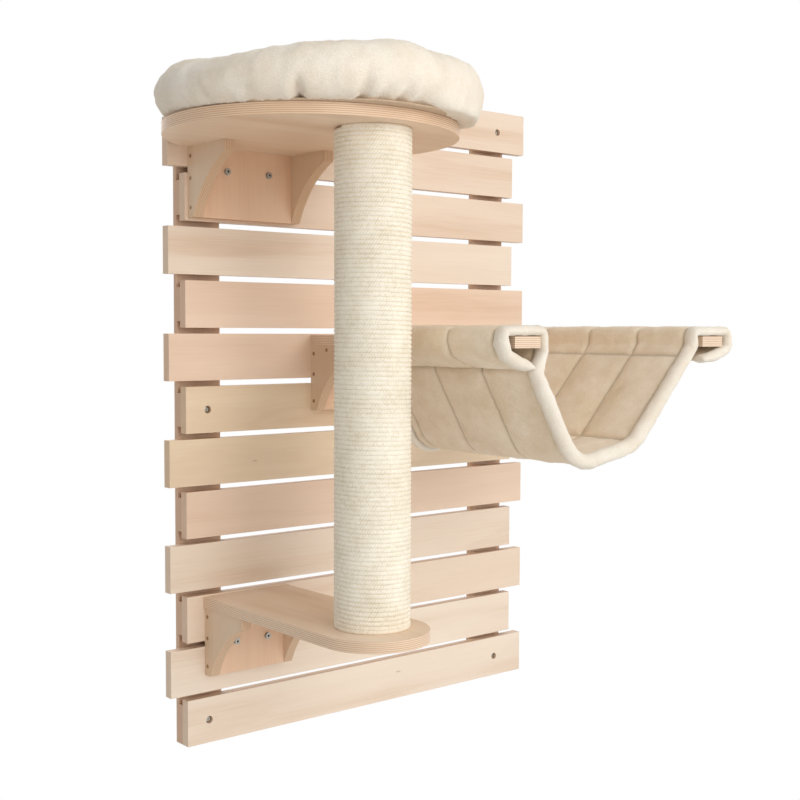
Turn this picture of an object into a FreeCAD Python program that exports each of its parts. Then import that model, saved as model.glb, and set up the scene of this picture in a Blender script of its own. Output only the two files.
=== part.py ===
import FreeCAD, Part
import math
import os

import Sketcher
from FreeCAD import Placement, Rotation, Vector

# Wall mounted cat tree. X runs along the slats, -Y out of the wall, +Z up; the wall is the plane Y = 0 and
# the origin is the middle of the panel on the wall.

doc = FreeCAD.newDocument("cat_tree")
nodes = []

SIZES = {
    # panel
    "slat_count": 13, "slat_long": 800, "slat_high": 80, "slat_gap": 10, "slat_shift": 16, "board": 18,
    "upright_wide": 85, "upright_thick": 21, "recess_deep": 12, "recess_lap": 11,
    "wall_hole": 6.5, "wall_sink": 13, "wall_sink_deep": 8,
    "slat_screw_long": 34, "slat_screw_step": 18,
    # screws, bolts and dowels
    "screw_wide": 4, "screw_head": 7, "screw_head_deep": 2.5, "bracket_screw_long": 40, "screw_margin": 16,
    "bolt_wide": 6, "bolt_head": 10.5, "bolt_head_high": 3.3, "bolt_socket": 4.6, "bolt_socket_deep": 2.2,
    "bolt_play": 0.3, "washer_wide": 12, "washer_thick": 1,
    "dowel_wide": 8, "dowel_long": 30, "dowel_margin": 30,
    # clamps behind the slats
    "clamp_high": 30, "clamp_thick": 9, "clamp_past": 20, "insert_wide": 10,
    # brackets: middle along the panel, number of the gap that is used, width, bolts
    "bracket_size": 118, "gusset_curve": 184,
    "platform_x": -270, "platform_gap": 2, "platform_bracket_wide": 216, "platform_bolt_span": 84,
    "platform_bolt_drop": 38,
    "shelf_x": -265, "shelf_gap": 11, "shelf_bracket_wide": 170, "shelf_bolt_span": 64, "shelf_bolt_drop": 64,
    "hammock_x": 130, "hammock_gap": 6, "hammock_bracket_wide": 510, "hammock_bolt_span": 300,
    "hammock_bolt_drop": 65,
    # boards
    "platform_wide": 475, "platform_out": 203, "platform_shift": 2, "shelf_wide": 175, "shelf_deep": 450,
    "arm_wide": 55, "arm_long": 525, "fork_corner": 12,
    # post
    "post_x": -258, "post_out": 350, "post_wide": 120, "rope_wide": 6.5, "rope_pitch": 7, "rope_turns": 24,
    "rope_play": 0.15, "tube_wall": 5, "plug_play": 0.2, "post_bolt": 8, "post_bolt_long": 40,
    "post_bolt_head": 16, "post_bolt_head_deep": 4.4, "tee_flange": 22, "tee_flange_thick": 1.5, "tee_barrel": 10.5,
    # hammock cover
    "cover_back": 131, "cover_front": 532, "cloth": 14, "seam_cloth": 8, "seam_first": 129, "seam_step": 113,
    "seam_slope": 14, "hem_thick": 25, "hem_wide": 26, "sleeve_hem": 16.5, "sleeve_play": 1, "sleeve_corner": 1.5,
    "sleeve_bend": 10, "left_slack": 16, "left_pocket": 21, "right_slack": 15.5, "right_play": 11,
    "right_pocket": 17, "right_rise": 12, "seat_sag": 197, "seat_from_left": 111, "seat_long": 141,
    "seat_rise": 27.5, "seat_bend_low": 60, "seat_bend_high": 60,
    # bed
    "bed_x": -275, "bed_out": 232, "bed_wide": 518, "bed_high": 97, "bed_rim": 104, "bed_seat_high": 44,
    "bed_crown": 9, "bed_flat": 30, "bed_foot_in": 38, "soft_gap": 0.4,
}

sheet = doc.addObject("Spreadsheet::Sheet", "sizes")
for row, (name, value) in enumerate(SIZES.items(), start=1):
    sheet.set("A%d" % row, name)
    sheet.set("B%d" % row, str(value))
    sheet.setAlias("B%d" % row, name)
doc.recompute()


def size(name):
    return float(getattr(sheet, name))


def linked(text):
    """Expression text in which each alias of the sheet is written in full."""
    words = text.replace("(", " ( ").replace(")", " ) ").split()
    return " ".join("sizes." + word if word in SIZES else word for word in words)


def drive(thing, prop, text):
    thing.setExpression(prop, linked(text))


def place(thing, spot, turn=None):
    if turn:
        thing.Placement = Placement(Vector(), Rotation(*turn))
    for axis, text in zip("xyz", spot):
        drive(thing, "Placement.Base." + axis, text)


def box(label, lengths, spot):
    made = doc.addObject("Part::Box", label)
    made.Label = label
    for prop, text in zip(("Length", "Width", "Height"), lengths):
        drive(made, prop, text)
    place(made, spot)
    return made


def rod(label, radius, length, spot, turn=None):
    made = doc.addObject("Part::Cylinder", label)
    made.Label = label
    drive(made, "Radius", radius)
    drive(made, "Height", length)
    place(made, spot, turn)
    return made


def cone(label, radius_low, radius_high, length, spot, turn=None):
    made = doc.addObject("Part::Cone", label)
    made.Label = label
    drive(made, "Radius1", radius_low)
    drive(made, "Radius2", radius_high)
    drive(made, "Height", length)
    place(made, spot, turn)
    return made


def fuse(label, things):
    made = doc.addObject("Part::MultiFuse", label)
    made.Label = label
    made.Shapes = things
    return made


def cut(label, base, tools):
    made = doc.addObject("Part::Cut", label)
    made.Label = label
    made.Base = base
    made.Tool = tools[0] if len(tools) == 1 else group(label + "_tools", tools)
    return made


def group(label, things):
    made = doc.addObject("Part::Compound", label)
    made.Label = label
    made.Links = things
    return made


def keep(thing):
    nodes.append(thing)
    return thing


# Rotations as axis and angle: a rod stands on Z, so these lay it along another axis.
ALONG_PLUS_X = (Vector(0, 1, 0), 90)
ALONG_MINUS_X = (Vector(0, 1, 0), -90)
ALONG_PLUS_Y = (Vector(1, 0, 0), -90)
ALONG_MINUS_Y = (Vector(1, 0, 0), 90)

PITCH = "( slat_high + slat_gap )"
UPRIGHT_X = "( slat_long / 2 - slat_shift - upright_wide / 2 )"
SLAT_BACK = "( - upright_thick )"
SLAT_FRONT = "( - upright_thick - board )"
PANEL_HIGH = "( slat_count * slat_high + ( slat_count - 1 ) * slat_gap )"


def slat_z(number):
    return "( ( ( slat_count + 1 ) / 2 - %g ) * %s )" % (number, PITCH)


def gap_z(unit):
    """Middle height of the gap that a unit's bolts pass through."""
    return "( ( slat_count / 2 - %s_gap ) * %s )" % (unit, PITCH)


def bracket_top(unit):
    return "( %s + %s_bolt_drop )" % (gap_z(unit), unit)


# ---- sketch helpers ----

def origin_plane(body, role):
    return next(part for part in body.Origin.OriginFeatures if part.Role == role)


def new_sketch(body, name, role):
    sketch = body.newObject("Sketcher::SketchObject", name)
    sketch.AttachmentSupport = [(origin_plane(body, role), "")]
    sketch.MapMode = "FlatFace"
    return sketch


def name_distance(sketch, kind, places, name, text):
    """Dimension between sketch points, bound to the sheet."""
    index = sketch.addConstraint(Sketcher.Constraint(kind, *places, size_of(text)))
    sketch.renameConstraint(index, name)
    drive(sketch, "Constraints." + name, text)


def size_of(text):
    """Value of an expression now, as the sketch's first guess."""
    return float(sheet.evalExpression(linked(text).replace("sizes.", "")))


def closed_outline(sketch, corners):
    """Lines through the corners; each corner's distances from the origin are bound to its two expressions."""
    values = [Vector(size_of(across), size_of(up), 0) for across, up in corners]
    count = len(corners)
    for index in range(count):
        sketch.addGeometry(Part.LineSegment(values[index], values[(index + 1) % count]), False)
    for index in range(count):
        sketch.addConstraint(Sketcher.Constraint("Coincident", index, 2, (index + 1) % count, 1))
    for index, (across, up) in enumerate(corners):
        for kind, text, letter in (("DistanceX", across, "x"), ("DistanceY", up, "y")):
            name_distance(sketch, kind, (-1, 1, index, 1), "corner%d%s" % (index, letter), text)


def pad(body, sketch, name, length):
    made = body.newObject("PartDesign::Pad", name)
    made.Profile = sketch
    drive(made, "Length", length)
    return made


# ---- panel ----

def wall_hole(label, side, number):
    """Stepped hole for a wall screw: wide in the slat's face, narrow through slat and upright."""
    centre = ("%s * %d" % (UPRIGHT_X, side), slat_z(number))
    shaft = rod(label + "_shaft", "wall_hole / 2", "upright_thick + board",
                (centre[0], "0", centre[1]), ALONG_MINUS_Y)
    sink = rod(label + "_sink", "wall_sink / 2", "wall_sink_deep",
               (centre[0], SLAT_FRONT, centre[1]), ALONG_PLUS_Y)
    return fuse(label, [shaft, sink])


def screw(label, length, spot, turn):
    """Countersunk wood screw whose head lies flush at the spot and which points along the turn."""
    body = rod(label + "_shank", "screw_wide / 2", length, spot, turn)
    head = cone(label + "_head", "screw_head / 2", "screw_wide / 2", "screw_head_deep", spot, turn)
    return fuse(label, [body, head])


def slat_screws(side_name, side, number):
    """Two screws, one above the other, from the back of an upright into one slat."""
    made = []
    for place_name, step in (("low", -1), ("high", 1)):
        spot = ("%s * %d" % (UPRIGHT_X, side), "0", "%s + slat_screw_step * %d" % (slat_z(number), step))
        label = "slat_screw_%s_%02d_%s" % (side_name, number, place_name)
        made.append(screw(label, "slat_screw_long", spot, ALONG_MINUS_Y))
    return made


def upright(side_name, side, holes, screws):
    """Board with a recess across each gap, so that a clamp batten can pass behind the slats."""
    label = "upright_" + side_name
    body = doc.addObject("PartDesign::Body", label + "_body")
    face = new_sketch(body, label + "_face", "XZ_Plane")
    half = "upright_wide / 2"
    closed_outline(face, [("- " + half, "0"), (half, "0"), (half, PANEL_HIGH), ("- " + half, PANEL_HIGH)])
    pad(body, face, label + "_pad", "upright_thick")
    recess = new_sketch(body, label + "_recess", "YZ_Plane")
    low = "slat_high - recess_lap"
    high = "slat_high + slat_gap + recess_lap"
    front = "- upright_thick"
    back = "recess_deep - upright_thick"
    closed_outline(recess, [(front, low), (back, low), (back, high), (front, high)])
    doc.recompute()
    pocket = body.newObject("PartDesign::Pocket", label + "_pocket")
    pocket.Profile = recess
    pocket.Type = "ThroughAll"
    pocket.Midplane = True
    pattern = body.newObject("PartDesign::LinearPattern", label + "_recesses")
    pattern.Originals = [pocket]
    pattern.Direction = (origin_plane(body, "Z_Axis"), [""])
    drive(pattern, "Length", "( slat_count - 2 ) * " + PITCH)
    drive(pattern, "Occurrences", "slat_count - 1")
    body.Tip = pattern
    place(body, ("%s * %d" % (UPRIGHT_X, side), "0", "- %s / 2" % PANEL_HIGH))
    return keep(cut(label, body, holes + [screws]))


def build_panel():
    count = int(size("slat_count"))
    wall_rows = (1, (count + 1) // 2, count)
    sides = (("left", -1), ("right", 1))
    holes = {(side, row): wall_hole("wall_hole_%s_%02d" % (name, row), side, row)
             for name, side in sides for row in wall_rows}
    screws = {(side, number): slat_screws(name, side, number)
              for name, side in sides for number in range(1, count + 1)}
    for number in range(1, count + 1):
        shift = "slat_shift" if number % 2 else "( - slat_shift )"
        label = "slat_%02d" % number
        blank = box(label + "_blank", ("slat_long", "board", "slat_high"),
                    (shift + " - slat_long / 2", SLAT_FRONT, slat_z(number) + " - slat_high / 2"))
        tools = screws[-1, number] + screws[1, number]
        if number in wall_rows:
            tools += [holes[side, number] for _, side in sides]
        keep(cut(label, blank, tools))
    for name, side in sides:
        both = [one for number in range(1, count + 1) for one in screws[side, number]]
        own = keep(group("slat_screws_" + name, both))
        upright(name, side, [holes[side, row] for row in wall_rows], own)


# ---- brackets ----

def gusset_blank(label, left_x, top_z):
    """Square board whose lower front corner is cut away in a shallow hollow curve."""
    body = doc.addObject("PartDesign::Body", label + "_body")
    outline = new_sketch(body, label + "_outline", "YZ_Plane")
    far = -size("bracket_size")
    near = -size("board")
    radius = size("gusset_curve")
    half_chord = (near - far) / math.sqrt(2)
    middle = (far + near) / 2 - math.sqrt((radius * radius - half_chord * half_chord) / 2)
    turn = math.asin(half_chord / radius)
    points = [Vector(0, 0, 0), Vector(far, 0, 0), Vector(far, near, 0), Vector(near, far, 0), Vector(0, far, 0)]
    outline.addGeometry(Part.LineSegment(points[0], points[1]), False)
    outline.addGeometry(Part.LineSegment(points[1], points[2]), False)
    curve = Part.Circle(Vector(middle, middle, 0), Vector(0, 0, 1), radius)
    outline.addGeometry(Part.ArcOfCircle(curve, math.pi / 4 - turn, math.pi / 4 + turn), False)
    outline.addGeometry(Part.LineSegment(points[3], points[4]), False)
    outline.addGeometry(Part.LineSegment(points[4], points[0]), False)
    for first, end, second, start in ((0, 2, 1, 1), (1, 2, 2, 2), (2, 1, 3, 1), (3, 2, 4, 1), (4, 2, 0, 1)):
        outline.addConstraint(Sketcher.Constraint("Coincident", first, end, second, start))
    outline.addConstraint(Sketcher.Constraint("Coincident", 0, 1, -1, 1))
    outline.addConstraint(Sketcher.Constraint("Horizontal", 0))
    outline.addConstraint(Sketcher.Constraint("Vertical", 1))
    outline.addConstraint(Sketcher.Constraint("Horizontal", 3))
    outline.addConstraint(Sketcher.Constraint("Vertical", 4))
    name_distance(outline, "DistanceX", (0, 2, 0, 1), "depth", "bracket_size")
    name_distance(outline, "DistanceY", (4, 1, 4, 2), "height", "bracket_size")
    name_distance(outline, "DistanceY", (1, 2, 1, 1), "lip", "board")
    name_distance(outline, "DistanceX", (3, 1, 3, 2), "foot", "board")
    name_distance(outline, "Radius", (2,), "curve", "gusset_curve")
    pad(body, outline, label + "_pad", "board")
    place(body, (left_x, SLAT_FRONT, top_z))
    return body


def socket_bolt(label, spot_x, spot_z):
    """Socket head bolt that points into the wall, with its washer kept apart."""
    head_back = "( %s - board - washer_thick )" % SLAT_FRONT
    shank = rod(label + "_shank", "bolt_wide / 2", "washer_thick + board + board + clamp_thick",
                (spot_x, head_back, spot_z), ALONG_PLUS_Y)
    head = rod(label + "_head", "bolt_head / 2", "bolt_head_high", (spot_x, head_back, spot_z), ALONG_MINUS_Y)
    socket = doc.addObject("Part::Prism", label + "_socket")
    socket.Polygon = 6
    drive(socket, "Circumradius", "bolt_socket / 2")
    drive(socket, "Height", "bolt_socket_deep")
    place(socket, (spot_x, head_back + " - bolt_head_high", spot_z), ALONG_PLUS_Y)
    return cut(label, fuse(label + "_solid", [shank, head]), [socket])


def ring(label, outer, inner, length, spot, turn=None):
    solid = rod(label + "_outer", outer, length, spot, turn)
    return cut(label, solid, [rod(label + "_inner", inner, length, spot, turn)])


def build_bracket(unit, board_name, with_top_plate=False):
    """Back plate between two gussets, bolted through a gap of the panel to a batten behind the slats."""
    left = "( %s_x - %s_bracket_wide / 2 )" % (unit, unit)
    right = "( %s_x + %s_bracket_wide / 2 )" % (unit, unit)
    top = bracket_top(unit)
    name = unit + "_bracket"
    inner_wide = "%s_bracket_wide - 2 * board" % unit
    screws = []
    plate_screw_y = SLAT_FRONT + " - board / 2"
    rows = ("screw_margin", "bracket_size * 0.45", "( bracket_size - screw_margin )")
    spots = [(plate_screw_y, "%s - %s" % (top, drop)) for drop in rows]
    if with_top_plate:
        shelf_screw_z = "%s - board / 2" % top
        reach = "( bracket_size - board )"
        spots += [("%s - board - %s * %s" % (SLAT_FRONT, reach, share), shelf_screw_z) for share in ("0.3", "0.8")]
    for index, (spot_y, spot_z) in enumerate(spots):
        screws.append(screw("%s_screw_left_%d" % (name, index), "bracket_screw_long",
                            (left, spot_y, spot_z), ALONG_PLUS_X))
        screws.append(screw("%s_screw_right_%d" % (name, index), "bracket_screw_long",
                            (right, spot_y, spot_z), ALONG_MINUS_X))
    screw_group = keep(group(name + "_screws", screws))

    bolts, washers, inserts, play_holes, batten_holes = [], [], [], [], []
    for side_name, side in (("left", -1), ("right", 1)):
        spot_x = "( %s_x + %s_bolt_span / 2 * %d )" % (unit, unit, side)
        spot_z = gap_z(unit)
        label = "%s_%s" % (name, side_name)
        bolts.append(socket_bolt(label + "_bolt", spot_x, spot_z))
        washers.append(ring(label + "_washer", "washer_wide / 2", "bolt_wide / 2 + bolt_play", "washer_thick",
                            (spot_x, SLAT_FRONT + " - board", spot_z), ALONG_MINUS_Y))
        play_holes.append(rod(label + "_play", "bolt_wide / 2 + bolt_play", "board",
                              (spot_x, SLAT_FRONT, spot_z), ALONG_MINUS_Y))
        inserts.append(ring(label + "_insert", "insert_wide / 2", "bolt_wide / 2", "clamp_thick",
                            (spot_x, SLAT_BACK, spot_z), ALONG_PLUS_Y))
        batten_holes.append(rod(label + "_batten_hole", "insert_wide / 2", "clamp_thick",
                                (spot_x, SLAT_BACK, spot_z), ALONG_PLUS_Y))
    keep(group(name + "_bolts", bolts))
    keep(group(name + "_washers", washers))
    keep(group(unit + "_clamp_inserts", inserts))

    batten_long = "%s_bolt_span + 2 * clamp_past" % unit
    batten = box(unit + "_batten_blank", (batten_long, "clamp_thick", "clamp_high"),
                 ("%s_x - ( %s ) / 2" % (unit, batten_long), SLAT_BACK, gap_z(unit) + " - clamp_high / 2"))
    keep(cut(unit + "_clamp_batten", batten, batten_holes))

    back = box(name + "_back_blank", (inner_wide, "board", "bracket_size"),
               (left + " + board", SLAT_FRONT + " - board", top + " - bracket_size"))
    keep(cut(name + "_back", back, play_holes + [screw_group]))

    dowels = [rod("%s_dowel_%s_%d" % (unit, side_name, index), "dowel_wide / 2", "dowel_long",
                  (spot_x, "%s - %s" % (SLAT_FRONT, reach), "%s - dowel_long + board * 2 / 3" % top))
              for side_name, spot_x in (("left", left + " + board / 2"), ("right", right + " - board / 2"))
              for index, reach in enumerate(("dowel_margin", "( bracket_size - dowel_margin )"))]
    dowel_group = keep(group(board_name + "_dowels", dowels))
    for side_name, left_x in (("left", left), ("right", right + " - board")):
        blank = gusset_blank("%s_gusset_%s" % (name, side_name), left_x, top)
        keep(cut("%s_gusset_%s" % (name, side_name), blank, [screw_group, dowel_group]))
    if with_top_plate:
        plate = box(unit + "_top_plate_blank", (inner_wide, "bracket_size - board", "board"),
                    (left + " + board", SLAT_FRONT + " - bracket_size", top + " - board"))
        keep(cut(unit + "_top_plate", plate, [screw_group]))
    return dowel_group


# ---- boards ----

def build_platform(dowel_group, post_bolts):
    """Round board, cut flat where it meets the slats."""
    disc = rod("platform_disc", "platform_wide / 2", "board",
               ("platform_x + platform_shift", SLAT_FRONT + " - platform_out", bracket_top("platform")))
    front = box("platform_front", ("platform_wide", "platform_wide", "board"),
                ("platform_x + platform_shift - platform_wide / 2", SLAT_FRONT + " - platform_wide",
                 bracket_top("platform")))
    whole = doc.addObject("Part::Common", "platform_blank")
    whole.Base = disc
    whole.Tool = front
    keep(cut("platform", whole, [dowel_group, post_bolts]))


def build_shelf(dowel_group, post_bolts):
    """Board whose outer end is a half circle."""
    straight = "( shelf_deep - shelf_wide / 2 )"
    strip = box("shelf_strip", ("shelf_wide", straight, "board"),
                ("shelf_x - shelf_wide / 2", "%s - %s" % (SLAT_FRONT, straight), bracket_top("shelf")))
    end = rod("shelf_end", "shelf_wide / 2", "board",
              ("shelf_x", "%s - %s" % (SLAT_FRONT, straight), bracket_top("shelf")))
    keep(cut("shelf", fuse("shelf_blank", [strip, end]), [dowel_group, post_bolts]))


def build_hammock_frame(dowel_group):
    """Fork of ply: a crosspiece on the bracket and two arms that carry the cover."""
    body = doc.addObject("PartDesign::Body", "hammock_frame_body")
    outline = new_sketch(body, "hammock_frame_outline", "XY_Plane")
    half = "hammock_bracket_wide / 2"
    inner = "( hammock_bracket_wide / 2 - arm_wide )"
    closed_outline(outline, [
        ("- " + half, "0"), ("- " + half, "- arm_long"), ("- " + inner, "- arm_long"),
        ("- " + inner, "- bracket_size"), (inner, "- bracket_size"), (inner, "- arm_long"),
        (half, "- arm_long"), (half, "0")])
    solid = pad(body, outline, "hammock_frame_pad", "board")
    doc.recompute()
    corner_y = -size("bracket_size")
    corners = ["Edge%d" % (index + 1) for index, edge in enumerate(solid.Shape.Edges)
               if edge.BoundBox.ZLength > 1 and abs(edge.BoundBox.YMin - corner_y) < 1e-6]
    round_off = body.newObject("PartDesign::Fillet", "hammock_frame_corners")
    round_off.Base = (solid, corners)
    drive(round_off, "Radius", "fork_corner")
    body.Tip = round_off
    place(body, ("hammock_x", SLAT_FRONT, bracket_top("hammock")))
    keep(cut("hammock_frame", body, [dowel_group]))


# ---- post ----

POST_Y = SLAT_FRONT + " - post_out"
POST_LOW = "( %s + board )" % bracket_top("shelf")
POST_HIGH = bracket_top("platform")
CORE_RADIUS = "( post_wide / 2 - rope_wide )"
PLUG_RADIUS = "( %s - tube_wall - plug_play )" % CORE_RADIUS
POINT_DOWN = (Vector(1, 0, 0), 180)


def post_bolt(label, start_z, turn):
    """Countersunk bolt from a board's outer face through the board into the post's plug."""
    spot = ("post_x", POST_Y, start_z)
    shank = rod(label + "_shank", "post_bolt / 2", "post_bolt_long", spot, turn)
    head = cone(label + "_head", "post_bolt_head / 2", "post_bolt / 2", "post_bolt_head_deep", spot, turn)
    return fuse(label, [shank, head])


def tee_nut(label, face_z, turn):
    """Nut with a flange on the plug's inner face and a barrel in the plug."""
    flange = ring(label + "_flange", "tee_flange / 2", "post_bolt / 2", "tee_flange_thick",
                  ("post_x", POST_Y, face_z), (Vector(1, 0, 0), 180 - turn[1]))
    barrel = ring(label + "_barrel", "tee_barrel / 2", "post_bolt / 2", "board * 2 / 3",
                  ("post_x", POST_Y, face_z), turn)
    return fuse(label, [flange, barrel])


def build_post():
    centre = ("post_x", POST_Y, POST_LOW)
    height = "%s - %s" % (POST_HIGH, POST_LOW)
    keep(ring("post_tube", CORE_RADIUS, CORE_RADIUS + " - tube_wall", height, centre))
    up = (Vector(1, 0, 0), 0)
    bolts = [post_bolt("post_bolt_top", POST_HIGH + " + board", POINT_DOWN),
             post_bolt("post_bolt_low", POST_LOW + " - board", up)]
    nuts = [tee_nut("post_tee_top", POST_HIGH + " - board", up),
            tee_nut("post_tee_low", POST_LOW + " + board", POINT_DOWN)]
    bolt_group = keep(group("post_bolts", bolts))
    nut_group = keep(group("post_tee_nuts", nuts))
    for name, low in (("top", POST_HIGH + " - board"), ("bottom", POST_LOW)):
        plug = rod("post_plug_%s_blank" % name, PLUG_RADIUS, "board", ("post_x", POST_Y, low))
        keep(cut("post_plug_" + name, plug, [bolt_group, nut_group]))
    return bolt_group


def arc_from(start, direction, end):
    """Arc that leaves the start along the direction and reaches the end."""
    chord = end - start
    inward = direction.cross(chord).cross(direction).normalize()
    radius = chord.dot(chord) / (2 * chord.dot(inward))
    centre = start + inward * radius
    middle = (start + end - centre * 2).normalize() * radius
    return Part.Arc(start, centre + middle, end)


def half_turn(spots, headings):
    """Two arcs that meet smoothly and join two points along their headings."""
    chord = spots[1] - spots[0]
    total = headings[0] + headings[1]
    bend = 2 * (1 - headings[0].dot(headings[1]))
    slope = 2 * chord.dot(total)
    reach = (-slope + math.sqrt(slope * slope + 4 * bend * chord.dot(chord))) / (2 * bend)
    meeting = (spots[0] + spots[1] + (headings[0] - headings[1]) * reach) * 0.5
    first = arc_from(spots[0], headings[0], meeting)
    last = arc_from(spots[1], -headings[1], meeting)
    middle = last.value((last.FirstParameter + last.LastParameter) / 2)
    return [first.toShape(), Part.Arc(meeting, middle, spots[1]).toShape()]


def winding(radius, thick, pitch, turns):
    """One unbroken rope wound upwards round the Z axis."""
    def spot(angle):
        return Vector(radius * math.cos(angle), radius * math.sin(angle), pitch * angle / (2 * math.pi))

    def heading(angle):
        along = Vector(-radius * math.sin(angle), radius * math.cos(angle), pitch / (2 * math.pi))
        return along.normalize()

    edges = []
    for step in range(2 * turns):
        angles = (step * math.pi, (step + 1) * math.pi)
        edges += half_turn([spot(angle) for angle in angles], [heading(angle) for angle in angles])
    samples = [spot(step * math.pi / 12) for step in range(24 * turns + 1)]
    gap = min(samples[low].distanceToPoint(high) for low in range(len(samples))
              for high in samples[low + 12:low + 37]) - thick
    print("least gap between turns of the rope: %.2f mm" % gap)
    profile = Part.Wire([Part.Circle(spot(0), heading(0), thick / 2).toShape()])
    return Part.Wire(edges).makePipeShell([profile], True, False)


def build_rope():
    """Rope on the post: single turns at the foot, a plain sleeve of the same size above them."""
    outer = size("post_wide") / 2
    thick = size("rope_wide")
    foot = size_of(POST_LOW) + size("rope_play")
    high = size_of(POST_HIGH)
    axis = Vector(size("post_x"), size_of(POST_Y), 0)
    turns = int(size("rope_turns"))
    wound = winding(outer - thick / 2 + size("rope_play"), thick, size("rope_pitch"), turns)
    wound.translate(axis + Vector(0, 0, foot + thick / 2))
    sleeve_low = foot + size("rope_pitch") * (turns + 1)
    sleeve = Part.makeCylinder(outer, high - sleeve_low, axis + Vector(0, 0, sleeve_low))
    core = Part.makeCylinder(outer - thick, high - sleeve_low, axis + Vector(0, 0, sleeve_low))
    made = doc.addObject("Part::Feature", "post_rope")
    made.Label = "post_rope"
    made.Shape = Part.makeCompound([wound, sleeve.cut(core)])
    keep(made)


# ---- soft pieces ----

def rounded(points, radii, closed=True):
    """Wire through points on the plane Y = 0 whose corners are arcs of the given radii; 0 keeps a corner."""
    count = len(points)
    stops = []
    for index, (point, radius) in enumerate(zip(points, radii)):
        if radius == 0:
            stops.append((point, None, point))
            continue
        back = (points[index - 1] - point).normalize()
        ahead = (points[(index + 1) % count] - point).normalize()
        half_angle = back.getAngle(ahead) / 2
        reach = radius / math.tan(half_angle)
        middle = (back + ahead).normalize() * (radius / math.sin(half_angle) - radius)
        stops.append((point + back * reach, point + middle, point + ahead * reach))
    edges = []
    for index, (start, middle, end) in enumerate(stops):
        if middle is not None:
            edges.append(Part.Arc(start, middle, end).toShape())
        if closed or index + 1 < count:
            edges.append(Part.LineSegment(end, stops[(index + 1) % count][0]).toShape())
    return Part.Wire(edges)


def arm_middle(side):
    """Middle of an arm's section, seen along the arm."""
    reach = size("hammock_bracket_wide") / 2 - size("arm_wide") / 2
    return Vector(size("hammock_x") + side * reach, 0, size_of(bracket_top("hammock")) + size("board") / 2)


def sleeve_outline(side):
    """Inside of a sleeve: close over its arm, slack on the left of it and drawn down to a seam below."""
    over = size("board") / 2 + size("soft_gap")
    under = size("board") / 2 + size("sleeve_play")
    corner = size("sleeve_corner")
    bend = size("sleeve_bend")
    if side < 0:
        near = size("arm_wide") / 2 + size("sleeve_play")
        out = size("arm_wide") / 2 + size("left_slack")
        seam = under + size("left_pocket")
        corners = ((near, over), (-out, over), (-out, -under), (near / 4, -seam), (near, -seam * 0.6))
        radii = (corner, corner, bend, bend * 0.6, bend)
    else:
        near = size("arm_wide") / 2 + size("right_play")
        out = size("arm_wide") / 2 + size("right_slack")
        seam = under + size("right_pocket")
        corners = ((near, over), (-out, over), (-out, -seam), (near, size("right_rise") - seam))
        radii = (bend, bend, bend, bend * 0.8)
    middle = arm_middle(side)
    return rounded([middle + Vector(across, 0, up) for across, up in corners], radii)


def seat_path():
    """Middle line of the hanging cloth, from the left sleeve's seam round the seat to the right one's."""
    left = arm_middle(-1)
    right = arm_middle(1)
    under = size("board") / 2 + size("sleeve_play")
    half_cloth = size("cloth") / 2
    start = left + Vector(size("arm_wide") / 4, 0, -(under + size("left_pocket") + half_cloth / 2))
    low = left + Vector(size("seat_from_left"), 0, -size("seat_sag"))
    rise = low + Vector(size("seat_long"), 0, size("seat_rise"))
    end = right - Vector(size("arm_wide") / 2 + size("right_slack") + half_cloth, 0, under)
    return rounded([start, low, rise, end], (0, size("seat_bend_low"), size("seat_bend_high"), 0), closed=False)


def quilt_stations(hem):
    """Thickness of the cloth along an arm, as (distance from the slats, thickness), from front to back."""
    front = size("cover_front")
    back = size("cover_back")
    wide = size("hem_wide")
    seam = size("seam_cloth")
    stations = [(front, hem * 0.6), (front - wide / 4, hem), (front - wide * 3 / 4, hem), (front - wide, seam)]
    start = front - wide
    end = front - size("seam_first")
    while start > back + wide:
        end = max(end, back + wide)
        slope = min(size("seam_slope"), (start - end) / 3)
        stations += [(start - slope, size("cloth")), (end + slope, size("cloth")), (end, seam)]
        start = end
        end = start - size("seam_step")
    stations += [(back + wide * 3 / 4, hem), (back + wide / 4, hem), (back, hem * 0.6)]
    return stations


def lofted(outline, stations, share):
    """Solid whose section is the outline, grown by a share of the cloth's thickness at each station."""
    front = size_of(SLAT_FRONT)
    wires = []
    for reach, thick in stations:
        wire = outline.makeOffset2D(thick * share)
        wire.translate(Vector(0, front - reach, 0))
        wires.append(wire)
    return Part.makeLoft(wires, True, True)


def build_cover():
    """Quilted cover: channels between sewn seams and a thick hem at each end, with a sleeve for each arm."""
    front = size_of(SLAT_FRONT)
    pieces = [lofted(sleeve_outline(side), quilt_stations(size("sleeve_hem")), 1) for side in (-1, 1)]
    pieces.append(lofted(seat_path(), quilt_stations(size("hem_thick")), 0.5))
    whole = pieces[0].multiFuse(pieces[1:])
    long = size("cover_front") - size("cover_back") + 2
    for side in (-1, 1):
        hollow = Part.Face(sleeve_outline(side))
        hollow.translate(Vector(0, front - size("cover_front") - 1, 0))
        whole = whole.cut(hollow.extrude(Vector(0, long, 0)))
    made = doc.addObject("Part::Feature", "hammock_cover")
    made.Label = "hammock_cover"
    made.Shape = whole
    keep(made)


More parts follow.
